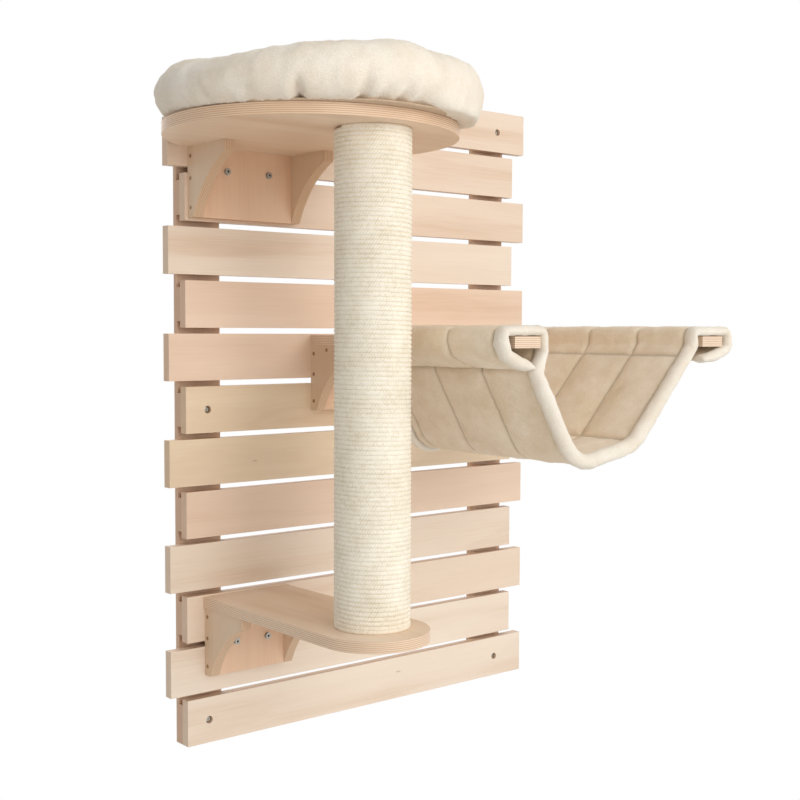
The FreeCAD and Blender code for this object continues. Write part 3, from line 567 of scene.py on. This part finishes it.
def makeRope(settings, material):
    thick, pitch = settings["wide"] / 1000, settings["pitch"] / 1000
    rise = settings["high"] - settings["low"] - thick
    inputs = {
        "Turns": ("NodeSocketFloat", rise / pitch + 1.0),       # half a flat turn at each end
        "Pitch": ("NodeSocketFloat", pitch),
        "Rise": ("NodeSocketFloat", rise),
        "Foot": ("NodeSocketVector", (*settings["middle"], settings["low"] + thick / 2)),
        "Winding Radius": ("NodeSocketFloat", settings["outer"] / 1000 - thick / 2),
        "Rope Radius": ("NodeSocketFloat", thick / 2),
        "Pressed": ("NodeSocketVector", (1.0, settings["pressed"], 1.0)),
        "Turned": ("NodeSocketVector", (0.0, 0.0, math.radians(settings["turned"]))),
        "Steps": ("NodeSocketInt", settings["stepsPerTurn"]),
        "Sides": ("NodeSocketInt", settings["sides"]),
        "Wander": ("NodeSocketFloat", settings["wander"] / 1000),
        "Seed": ("NodeSocketFloat", settings["seed"]),
        "Rope": ("NodeSocketMaterial", material),
    }
    tree, given = newTree("ropeWinding", inputs)
    total = mathNode(tree, "MULTIPLY", given["Turns"], given["Pitch"])
    helix = addNode(tree, "GeometryNodeCurveSpiral", {
        "Resolution": given["Steps"], "Rotations": given["Turns"], "Start Radius": given["Winding Radius"],
        "End Radius": given["Winding Radius"], "Height": total})
    helix = addNode(tree, "GeometryNodeTransform", {"Geometry": helix.outputs[0], "Rotation": given["Turned"]})

    # the first and the last half turn lie flat against the boards
    spot = addNode(tree, "GeometryNodeInputPosition").outputs[0]
    parts = splitNode(tree, spot)
    level = mathNode(tree, "MULTIPLY_ADD", given["Pitch"], -0.5, parts["Z"])
    level = addNode(tree, "ShaderNodeClamp", {"Value": level, "Min": 0.0, "Max": given["Rise"]})
    flat = joinNode(tree, parts["X"], parts["Y"], level.outputs[0])
    stray = addNode(tree, "ShaderNodeTexNoise", {"Vector": spot, "W": given["Seed"], "Scale": 34.0},
                    noise_dimensions="4D")
    stray = vectorNode(tree, "SUBTRACT", stray.outputs["Color"], (0.5, 0.5, 0.5))[0]
    stray = addNode(tree, "ShaderNodeVectorMath", {0: stray, "Scale": given["Wander"]}, operation="SCALE")
    moved = vectorNode(tree, "ADD", vectorNode(tree, "ADD", flat, stray.outputs[0])[0], given["Foot"])[0]
    helix = addNode(tree, "GeometryNodeSetPosition", {"Geometry": helix.outputs[0], "Position": moved})
    helix = addNode(tree, "GeometryNodeSetCurveNormal", {"Curve": helix.outputs[0]}, mode="Z_UP")

    # what the sisal needs to lay its strands: metres along the rope, and the way out from its middle
    reach = addNode(tree, "GeometryNodeSplineParameter")
    helix = addNode(tree, "GeometryNodeStoreNamedAttribute", {"Geometry": helix.outputs[0], "Name": "along",
                                                              "Value": reach.outputs["Length"]})
    out = vectorNode(tree, "NORMALIZE", spot)[0]
    ring = addNode(tree, "GeometryNodeCurvePrimitiveCircle", {"Resolution": given["Sides"],
                                                              "Radius": given["Rope Radius"]})
    ring = addNode(tree, "GeometryNodeStoreNamedAttribute", {"Geometry": ring.outputs[0], "Name": "around",
                                                             "Value": out}, data_type="FLOAT_VECTOR")
    ring = addNode(tree, "GeometryNodeTransform", {"Geometry": ring.outputs[0], "Scale": given["Pressed"]})
    tube = addNode(tree, "GeometryNodeCurveToMesh", {"Curve": helix.outputs[0], "Profile Curve": ring.outputs[0],
                                                     "Fill Caps": True})
    tube = addNode(tree, "GeometryNodeSetShadeSmooth", {"Geometry": tube.outputs[0]})
    endTree(tree, tube.outputs[0], given["Rope"])
    piece = growPiece("sisalRope", tree, inputs)
    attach(piece, "perch")
    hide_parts("post_rope")


makeRope(rope, ropeMaterial(rope))
print("rope wound")


wallScrew = {
    "across": 0.683,        # m between the two columns
    "up": 1.08,             # m from the lowest row to the highest
    "seat": -0.031,         # m, floor of the counterbore that the head is driven against
    "head": 12.0,           # mm
    "headHigh": 3.4,
    "drive": 4.2,           # mm across the points of the drive
    "driveDeep": 1.8,
    "seed": 3,
}


def screwHead(settings):
    # a pan head turned about Y, its drive a six pointed star pressed in
    head, high = settings["head"] / 2000, settings["headHigh"] / 1000
    drive, deep = settings["drive"] / 2000, settings["driveDeep"] / 1000
    # radius, height and whether it is round
    rings = [(head * 0.99, 0.0, 1), (head, high * 0.30, 1), (head * 0.94, high * 0.62, 1),
             (head * 0.80, high * 0.86, 1), (head * 0.58, high, 1), (drive * 1.16, high, 1),
             (drive, high - 0.0001, 0), (drive * 0.9, high - deep, 0)]
    count = 36
    vertices = []
    for reach, rise, plain in rings:
        for step in range(count):
            turn = 2 * math.pi * step / count
            out = reach if plain else reach * (0.86 + 0.14 * math.cos(6 * turn))
            vertices.append((out * math.cos(turn), -rise, out * math.sin(turn)))
    mesh = bpy.data.meshes.new("wallScrewHead")
    mesh.from_pydata(vertices, [], ringFaces(len(rings), count, capped=True))
    outwards(mesh)
    return mesh


def makeWallScrews(settings, material):
    inputs = {
        "Across": ("NodeSocketFloat", settings["across"]),
        "Up": ("NodeSocketFloat", settings["up"]),
        "Seat": ("NodeSocketVector", (0.0, settings["seat"], 0.0)),
        "Seed": ("NodeSocketInt", settings["seed"]),
        "Steel": ("NodeSocketMaterial", material),
    }
    tree, given = newTree("wallScrews", inputs)
    grid = addNode(tree, "GeometryNodeMeshGrid", {"Size X": given["Across"], "Size Y": given["Up"],
                                                  "Vertices X": 2, "Vertices Y": 3})
    grid = addNode(tree, "GeometryNodeTransform", {"Geometry": grid.outputs[0], "Translation": given["Seat"],
                                                   "Rotation": (math.pi / 2, 0, 0)})
    driven = addNode(tree, "FunctionNodeRandomValue", {0: (0, 0, 0), 1: (0, 6.2832, 0), "Seed": given["Seed"]},
                     data_type="FLOAT_VECTOR")
    heads = addNode(tree, "GeometryNodeInstanceOnPoints", {"Points": grid.outputs[0], "Instance": given["Geometry"],
                                                           "Rotation": driven.outputs[0]})
    endTree(tree, heads.outputs[0], given["Steel"])
    piece = growPiece("wallScrews", tree, inputs, screwHead(settings))
    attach(piece, "panel")


makeWallScrews(wallScrew, zincSteel)
print("wall screws driven")


bed = {
    "middle": (-0.275, -0.271),
    "low": 0.4614,            # m, just clear of the platform's top
    "radius": 0.2545,         # m, before it swells
    "crest": 0.205,           # radius of the rim's highest line
    "seat": 0.034,
    "baseThick": 0.0036,
    "board": (-0.258, -0.2765, 0.2385),      # middle and radius of the platform below
    "flatAt": -0.0396,        # the slats' faces
    # degrees from +X: height of the crest above the platform in mm, as the stuffing lies in the photo
    "crests": ((0, 90), (60, 90), (120, 88), (166, 81), (185, 70), (199, 70), (210, 74), (221, 78), (230, 83),
               (246, 86), (262, 93), (271, 93), (282, 89), (312, 93), (340, 91), (360, 90)),
    # degrees, and mm that the foot of the rim stands off the platform
    "lifts": ((0, 1), (120, 0), (223.5, 0), (227, 9), (230.5, 0), (246, 0.5), (250, 7), (254, 1.5), (258, 5),
              (262, 2), (266, 7), (270, 2), (275, 5), (280, 2), (292, 1), (360, 1)),
    "bulges": ((0, 0), (278, 0), (298, 6), (318, 5), (345, 0), (360, 0)),      # mm past the plain round
    "droops": ((0, 0), (272, 0), (294, 14), (322, 12), (340, 3), (360, 0)),    # mm that the foot hangs
    # degrees, and radius in mm of the felt below
    "baseReach": ((0, 220), (244, 220), (256, 232.5), (286, 233.5), (300, 222), (360, 220)),
    # degrees, depth in mm, width in degrees and height in mm of the creases at the foot of the rim
    "creases": ((227, 14, 1.5, 34), (250, 9, 1.7, 60), (265, 7, 1.8, 54), (257, 5, 1.4, 26),
                (272, 5, 1.6, 30), (191, 4, 2.4, 30), (209, 3, 2.0, 28), (284, 5, 2.2, 40),
                (318, 6, 2.6, 44), (347, 5, 2.2, 36), (21, 6, 2.6, 40), (150, 5, 2.4, 40)),
    "outside": (0.17, 0.22),  # m from the middle between which lumps and creases come in
    "lumps": ((1.7, 7, 4.2, 1.0), (6.3, 26, 1.2, 0.6)),      # waves round and up, seed, strength
    "lumpDeep": 0.004,
    "lumpTall": 0.03,         # share of the height
    "droopReach": (0.222, 0.247),
    "droopHeight": (0.048, 0.012),
    "steps": 300,
    "rings": 90,
    "mostSwell": 0.005,       # m
    "pile": (70, 190, 0.0016),      # coarse and fine waves per m, and the height in m
    "light": "#fff6e7",
    "dark": "#eedec6",
    "baseColour": "#dcc0a2",
}


def fromTable(table, value):
    # smooth steps between the rows of a table
    for (first, low), (second, high) in zip(table, table[1:]):
        if value <= second:
            return low + (high - low) * smoothStep(first, second, value)
    return table[-1][1]


def bedSection(settings, degrees):
    # the section of the bed at one bearing, from the middle of the underside round the rim to the seat
    high = fromTable(settings["crests"], degrees) / 1000
    lift = fromTable(settings["lifts"], degrees) / 1000
    radius = settings["radius"] + fromTable(settings["bulges"], degrees) / 1000
    crest, seat = settings["crest"], settings["seat"]
    return [(0.0, 0.0), (radius - 0.090, 0.0), (radius - 0.050, lift * 0.4), (radius - 0.022, lift + 0.004),
            (radius - 0.006, lift + 0.017), (radius, high * 0.44), (radius - 0.004, high * 0.68),
            (radius - 0.020, high * 0.90), (crest, high), (crest - 0.026, high * 0.93), (crest - 0.048, high * 0.68),
            (crest - 0.060, seat + 0.010), (crest - 0.082, seat), (0.080, seat + 0.006), (0.0, seat + 0.008)]


def evenPoints(points, count):
    # that many points on a smooth line through the given ones, evenly spaced along it
    lengths = [0.0]
    for first, second in zip(points, points[1:]):
        lengths.append(lengths[-1] + math.dist(first, second))
    made, index = [], 1
    for ring in range(count + 1):
        at = ring / count * lengths[-1]
        while index < len(points) - 1 and lengths[index] < at:
            index += 1
        corners = (points[min(max(index + k, 0), len(points) - 1)] for k in (-2, -1, 0, 1))
        t = (at - lengths[index - 1]) / (lengths[index] - lengths[index - 1])
        made.append(tuple(0.5 * (2 * b + (c - a) * t + (2 * a - 5 * b + 4 * c - d) * t * t
                                 + (3 * b - a - 3 * c + d) * t ** 3) for a, b, c, d in zip(*corners)))
    return made


def restOnBoard(settings, place):
    # nothing goes into the slats or the platform; past the platform's edge the roll may hang a little
    board = settings["board"]
    over = math.hypot(place.x - board[0], place.y - board[1]) < board[2]
    return Vector((place.x, min(place.y, settings["flatAt"]), max(place.z, settings["low"] - (0 if over else 0.006))))


def makeBed(settings, material):
    steps, rings = settings["steps"], settings["rings"]
    vertices, pins = [], []
    centre = Vector((*settings["middle"], settings["low"]))
    columns = [evenPoints(bedSection(settings, 360 * step / steps), rings) for step in range(steps)]
    for ring in range(1, rings):
        for step in range(steps):
            degrees = 360 * step / steps
            angle = math.radians(degrees)
            side = Vector((math.cos(angle), math.sin(angle), 0))
            reach, height = columns[step][ring]
            outer = smoothStep(*settings["outside"], reach)
            crease = 0.0
            for bearing, deep, wide, top in settings["creases"]:
                apart = abs((degrees - bearing + 180) % 360 - 180)
                crease += deep / 1000 * math.exp(-(apart / wide) ** 2) * smoothStep(top / 1000, 0.0, height)
            lump = sum(strength * noise.noise((side.x * wave, side.y * wave, height * up + seed))
                       for wave, up, seed, strength in settings["lumps"])
            out = reach - crease * outer + settings["lumpDeep"] * lump * outer
            droop = fromTable(settings["droops"], degrees) / 1000 * smoothStep(*settings["droopReach"], reach)
            droop *= smoothStep(*settings["droopHeight"], height)
            tall = height * (1 + settings["lumpTall"] * lump * outer)
            vertices.append(centre + side * out + Vector((0, 0, tall - droop)))
            pins.append(1.0 if height < 0.0006 else min(0.92, crease * 150))
    faces = ringFaces(rings - 1, steps)
    low = len(vertices)
    vertices += [centre, centre + Vector((0, 0, columns[0][rings][1]))]
    pins += [1.0, 0.0]
    last = (rings - 2) * steps
    for step in range(steps):
        following = (step + 1) % steps
        faces.append((low, following, step))
        faces.append((low + 1, last + step, last + following))
    piece = newPiece("plushBed", vertices, faces, material)
    outwards(piece.data)
    puff(piece, settings["mostSwell"], pins)
    brushPile(piece, *settings["pile"])
    placePoints(piece, [restOnBoard(settings, vertex.co) for vertex in piece.data.vertices])
    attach(piece, "bed")
    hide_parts("bed")


def baseMaterial(settings):
    # Needled base felt under the bed: tan, dull and a little fluffy, so it has no highlight at all
    made, tree, shader = startMaterial("tanBaseFelt", 0.97)
    fluff = noiseNode(tree, addNode(tree, "ShaderNodeTexCoord").outputs["Object"], 520.0, 3.0)
    colour = settings["baseColour"]
    tone = rampNode(tree, fluff, (0.3, linear(colour, 0.7)), (0.7, linear(colour)))
    finishMaterial(tree, shader, tone, fluff, 0.5, 0.001)
    return made


def makeBedBase(settings, material):
    # a thin round of felt, its sewn edge drawn into shallow scallops
    count = 360
    low = settings["low"]
    rings = ((0.0, 0.6), (0.0, 0.985), (0.0014, 1.0), (settings["baseThick"] - 0.0014, 1.0),
             (settings["baseThick"], 0.985), (settings["baseThick"], 0.6))
    vertices = []
    for rise, share in rings:
        for step in range(count):
            angle = 2 * math.pi * step / count
            scallop = 0.0022 * abs(math.sin(angle * 13 + 0.8 * math.sin(angle * 5))) if share > 0.9 else 0.0
            out = fromTable(settings["baseReach"], 360 * step / count) / 1000 * share - scallop
            vertices.append((settings["middle"][0] + out * math.cos(angle),
                             min(settings["middle"][1] + out * math.sin(angle), settings["flatAt"]), low + rise))
    piece = newPiece("bedBase", vertices, ringFaces(len(rings), count, capped=True), material)
    outwards(piece.data)
    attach(piece, "bed")


makeBed(bed, plushMaterial("shortCreamPlush", bed["light"], bed["dark"]))
makeBedBase(bed, baseMaterial(bed))
print("bed stuffed")


cover = {
    # middle line of the cloth from the left seam round the left arm, down through the seat and round the
    # right arm: x and z, radius of the bend, thickness of the quilted cloth and of the hem, all in mm
    "line": ((-86, 80, 0, 9, 15), (-113, 88, 8, 13, 20), (-140, 100, 8, 14, 21), (-148, 118, 8, 14, 20),
             (-148, 136.7, 9, 13, 16.5), (-62.5, 136.7, 9, 13, 16), (-62.5, 104, 8, 12.5, 13),
             (-75, 73, 14, 13, 23), (13.3, -78, 60, 14, 25), (155, -51, 60, 14, 25), (306, 110, 20, 14, 19),
             (306, 137, 10, 13, 16), (402, 137, 10, 13, 16), (402, 106, 10, 14, 19), (365, 93, 10, 13, 18),
             (325, 88, 0, 9, 14)),
    "front": 532, "back": 131,        # mm from the slats
    "slatFace": -39,
    "seams": (403, 290, 177),         # sewn across, mm from the slats
    "longSeams": ((-68, 86), (158, -48), (290, 93)),      # sewn along the depth, x and z
    "seamCloth": 5.5,
    "hemWide": 26.0,
    "alongStep": 4.2,
    "acrossStep": 4.4,
    "hemSteps": 12,
    "seamStep": 1.3,
    "grooveWide": 4.5,       # mm from a long seam
    "grooveDeep": 0.6,       # share of the thickness
    "held": (1.5, 4, 0.1),   # mm from a cross seam and a long seam, and how much the rest is held
    "shade": (2.2, 3.0),     # mm of painted shade at a cross seam and a long seam
    "sway": 1.2,             # mm that the hanging cloth strays from its line
    "swayBelow": 60,
    "mostSwell": 0.004,      # m
    "pile": (75, 200, 0.0013),
    # on the left side, behind the front hem: height, slope and bend of a fold, its depth and width in mm
    "folds": ((56, -0.30, -0.0016, 3.4, 7), (26, -0.42, -0.0010, 4.2, 8), (-12, -0.24, -0.0012, 3.2, 7)),
    "light": "#fff0da",
    "dark": "#e9d2af",
    # the hem is the body's plush; its paler, less yellow colour is painted light, as the rolled hem faces the lamps
    "hemLight": "#fbf3e6",
    "hemDark": "#ebddc6",
}


def roundedLine(corners, step):
    # points along straight runs joined by arcs; the last two numbers of the corners are blended along it
    spots = [Vector(corner[:2]) for corner in corners]
    points = []
    last, before = spots[0], corners[0][3:]
    for index in range(1, len(spots)):
        values = corners[index][3:]
        start = spots[index]
        turns = index + 1 < len(spots)
        if turns:
            back = (last - start).normalized()
            ahead = (spots[index + 1] - start).normalized()
            half = math.acos(max(-1, min(1, back.dot(ahead)))) / 2
            reach = corners[index][2] / math.tan(half)
            start = spots[index] + back * reach
        count = max(1, round((start - last).length / step))
        for at in range(count):
            t = at / count
            points.append((last.lerp(start, t), [a + (b - a) * t for a, b in zip(before, values)]))
        if turns:
            end = spots[index] + ahead * reach
            weight = math.sin(half)      # a conic with this weight is the arc
            count = max(3, round(corners[index][2] * (math.pi - 2 * half) / step * 1.3))
            for at in range(count):
                t = at / count
                a, b, c = (1 - t) ** 2, 2 * t * (1 - t) * weight, t * t
                points.append(((start * a + spots[index] * b + end * c) / (a + b + c), values))
            last, before = end, values
    points.append((spots[-1], corners[-1][3:]))
    return points


def coverStations(settings):
    # distances from the slats, closer together in the hems and at the seams
    front, back, wide = settings["front"], settings["back"], settings["hemWide"]
    stations = set()
    steps, near = settings["hemSteps"], settings["seamStep"]
    for step in range(steps + 1):
        share = (1 - math.cos(math.pi * step / steps)) / 2
        stations.update((round(back + wide * share, 3), round(front - wide * share, 3)))
    marks = [back + wide, *sorted(settings["seams"]), front - wide]
    for first, second in zip(marks, marks[1:]):
        count = round((second - first) / settings["acrossStep"])
        for step in range(1, count):
            t = step / count
            stations.add(round(first + (second - first) * (t - 0.12 * math.sin(2 * math.pi * t)), 3))
        stations.update((float(first), first + near, second - near))
    return sorted(stations)


def clothAt(settings, reach, cloth, hem):
    # thickness of the cloth at a distance from the slats
    front, back, wide = settings["front"], settings["back"], settings["hemWide"]
    for edge, inner in ((front, front - wide), (back, back + wide)):
        if min(edge, inner) <= reach <= max(edge, inner):
            share = abs(reach - edge) / wide
            roll = hem * math.sqrt(max(0.0012, 1 - (2 * share - 1) ** 2))
            return max(roll, min(settings["seamCloth"], hem * 0.6)) if share > 0.5 else roll
    near = min(abs(reach - seam) for seam in (*settings["seams"], front - wide, back + wide))
    low = min(settings["seamCloth"], cloth * 0.75)
    return low + (cloth - low) * (1 - math.exp(-near / 5))


def foldAt(settings, reach, height):
    # how far a point of the left side leans out over the folds behind the front hem
    behind = settings["front"] - settings["hemWide"] - reach
    if behind <= 0:
        return 0.0
    lean = 0.0
    for start, slope, bend, deep, wide in settings["folds"]:
        apart = (height - (start + slope * behind + bend * behind * behind)) / wide
        lean -= deep * math.exp(-abs(apart)) * math.exp(-behind / 75) * min(1.0, behind / 8)
    return lean


def makeCover(settings, material, hemMaterial):
    line = roundedLine(settings["line"], settings["alongStep"])
    stations = coverStations(settings)
    count = len(line)
    wide = settings["hemWide"]
    normals = []
    for index in range(count):
        ahead = line[min(index + 1, count - 1)][0] - line[max(index - 1, 0)][0]
        normals.append(Vector((-ahead.y, ahead.x)).normalized())
    seams = [min(range(count), key=lambda index: (line[index][0] - Vector(place)).length)
             for place in settings["longSeams"]]
    heldCross, heldLong, heldElse = settings["held"]
    shadeCross, shadeLong = settings["shade"]
    vertices, pins, sewn = [], [], []
    loop = 2 * count
    for reach in stations:
        atHem = reach > settings["front"] - wide or reach < settings["back"] + wide
        gap = min(abs(reach - seam) for seam in (*settings["seams"], settings["front"] - wide,
                                                 settings["back"] + wide))
        for turn, sign in ((range(count), 1), (range(count - 1, -1, -1), -1)):
            for index in turn:
                spot, (cloth, hem) = line[index]
                thick = clothAt(settings, reach, cloth, hem)
                across = min((spot - line[seam][0]).length for seam in seams)
                groove = math.exp(-(across / settings["grooveWide"]) ** 2) * (not atHem)
                pull = 1 - settings["grooveDeep"] * groove
                pull *= min(1.0, 0.45 + 0.28 * min(index, count - 1 - index))
                lean = 0.0
                if spot.x < 30 and spot.y < 70 and normals[index].x > 0.3:
                    lean = -foldAt(settings, reach, spot.y) * smoothStep(70, 50, spot.y)
                sway = settings["sway"] * noise.noise((spot.x * 0.02, spot.y * 0.02, reach * 0.013))
                sway *= spot.y < settings["swayBelow"]
                place = spot + normals[index] * (sign * thick / 2 * pull + lean + sway)
                vertices.append(Vector((place.x, settings["slatFace"] - reach, place.y)) / 1000)
                pins.append(1.0 if gap < heldCross or atHem or across < heldLong else heldElse)
                # how much painted shade the plush gets near a cross seam or a long seam
                sewn.append(max(math.exp(-(gap / shadeCross) ** 2),
                                math.exp(-(across / shadeLong) ** 2) * (not atHem)))
    faces = ringFaces(len(stations), loop)
    rows = [row for row in range(len(stations) - 1) for _ in range(loop)]
    for row in (0, len(stations) - 1):
        for index in range(count - 1):
            faces.append((row * loop + index, row * loop + index + 1,
                          row * loop + loop - 2 - index, row * loop + loop - 1 - index))
            rows.append(row)
    piece = newPiece("quiltedCover", vertices, faces, material)
    piece.data.materials.append(hemMaterial)
    for polygon, row in zip(piece.data.polygons, rows):
        if stations[row] >= settings["front"] - wide - 0.1 or stations[row] < settings["back"] + wide - 0.1:
            polygon.material_index = 1
    piece.data.attributes.new("sewn", "FLOAT", "POINT").data.foreach_set("value", sewn)
    outwards(piece.data)
    puff(piece, settings["mostSwell"], pins)
    brushPile(piece, *settings["pile"])
    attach(piece, "cover")
    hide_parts("hammock_cover")


# the hem's material is the body plush made paler: painted light
makeCover(cover, plushMaterial("shortBeigePlush", cover["light"], cover["dark"]),
          plushMaterial("hemPlushPaintedPaler", cover["hemLight"], cover["hemDark"]))
print("hammock cover sewn")
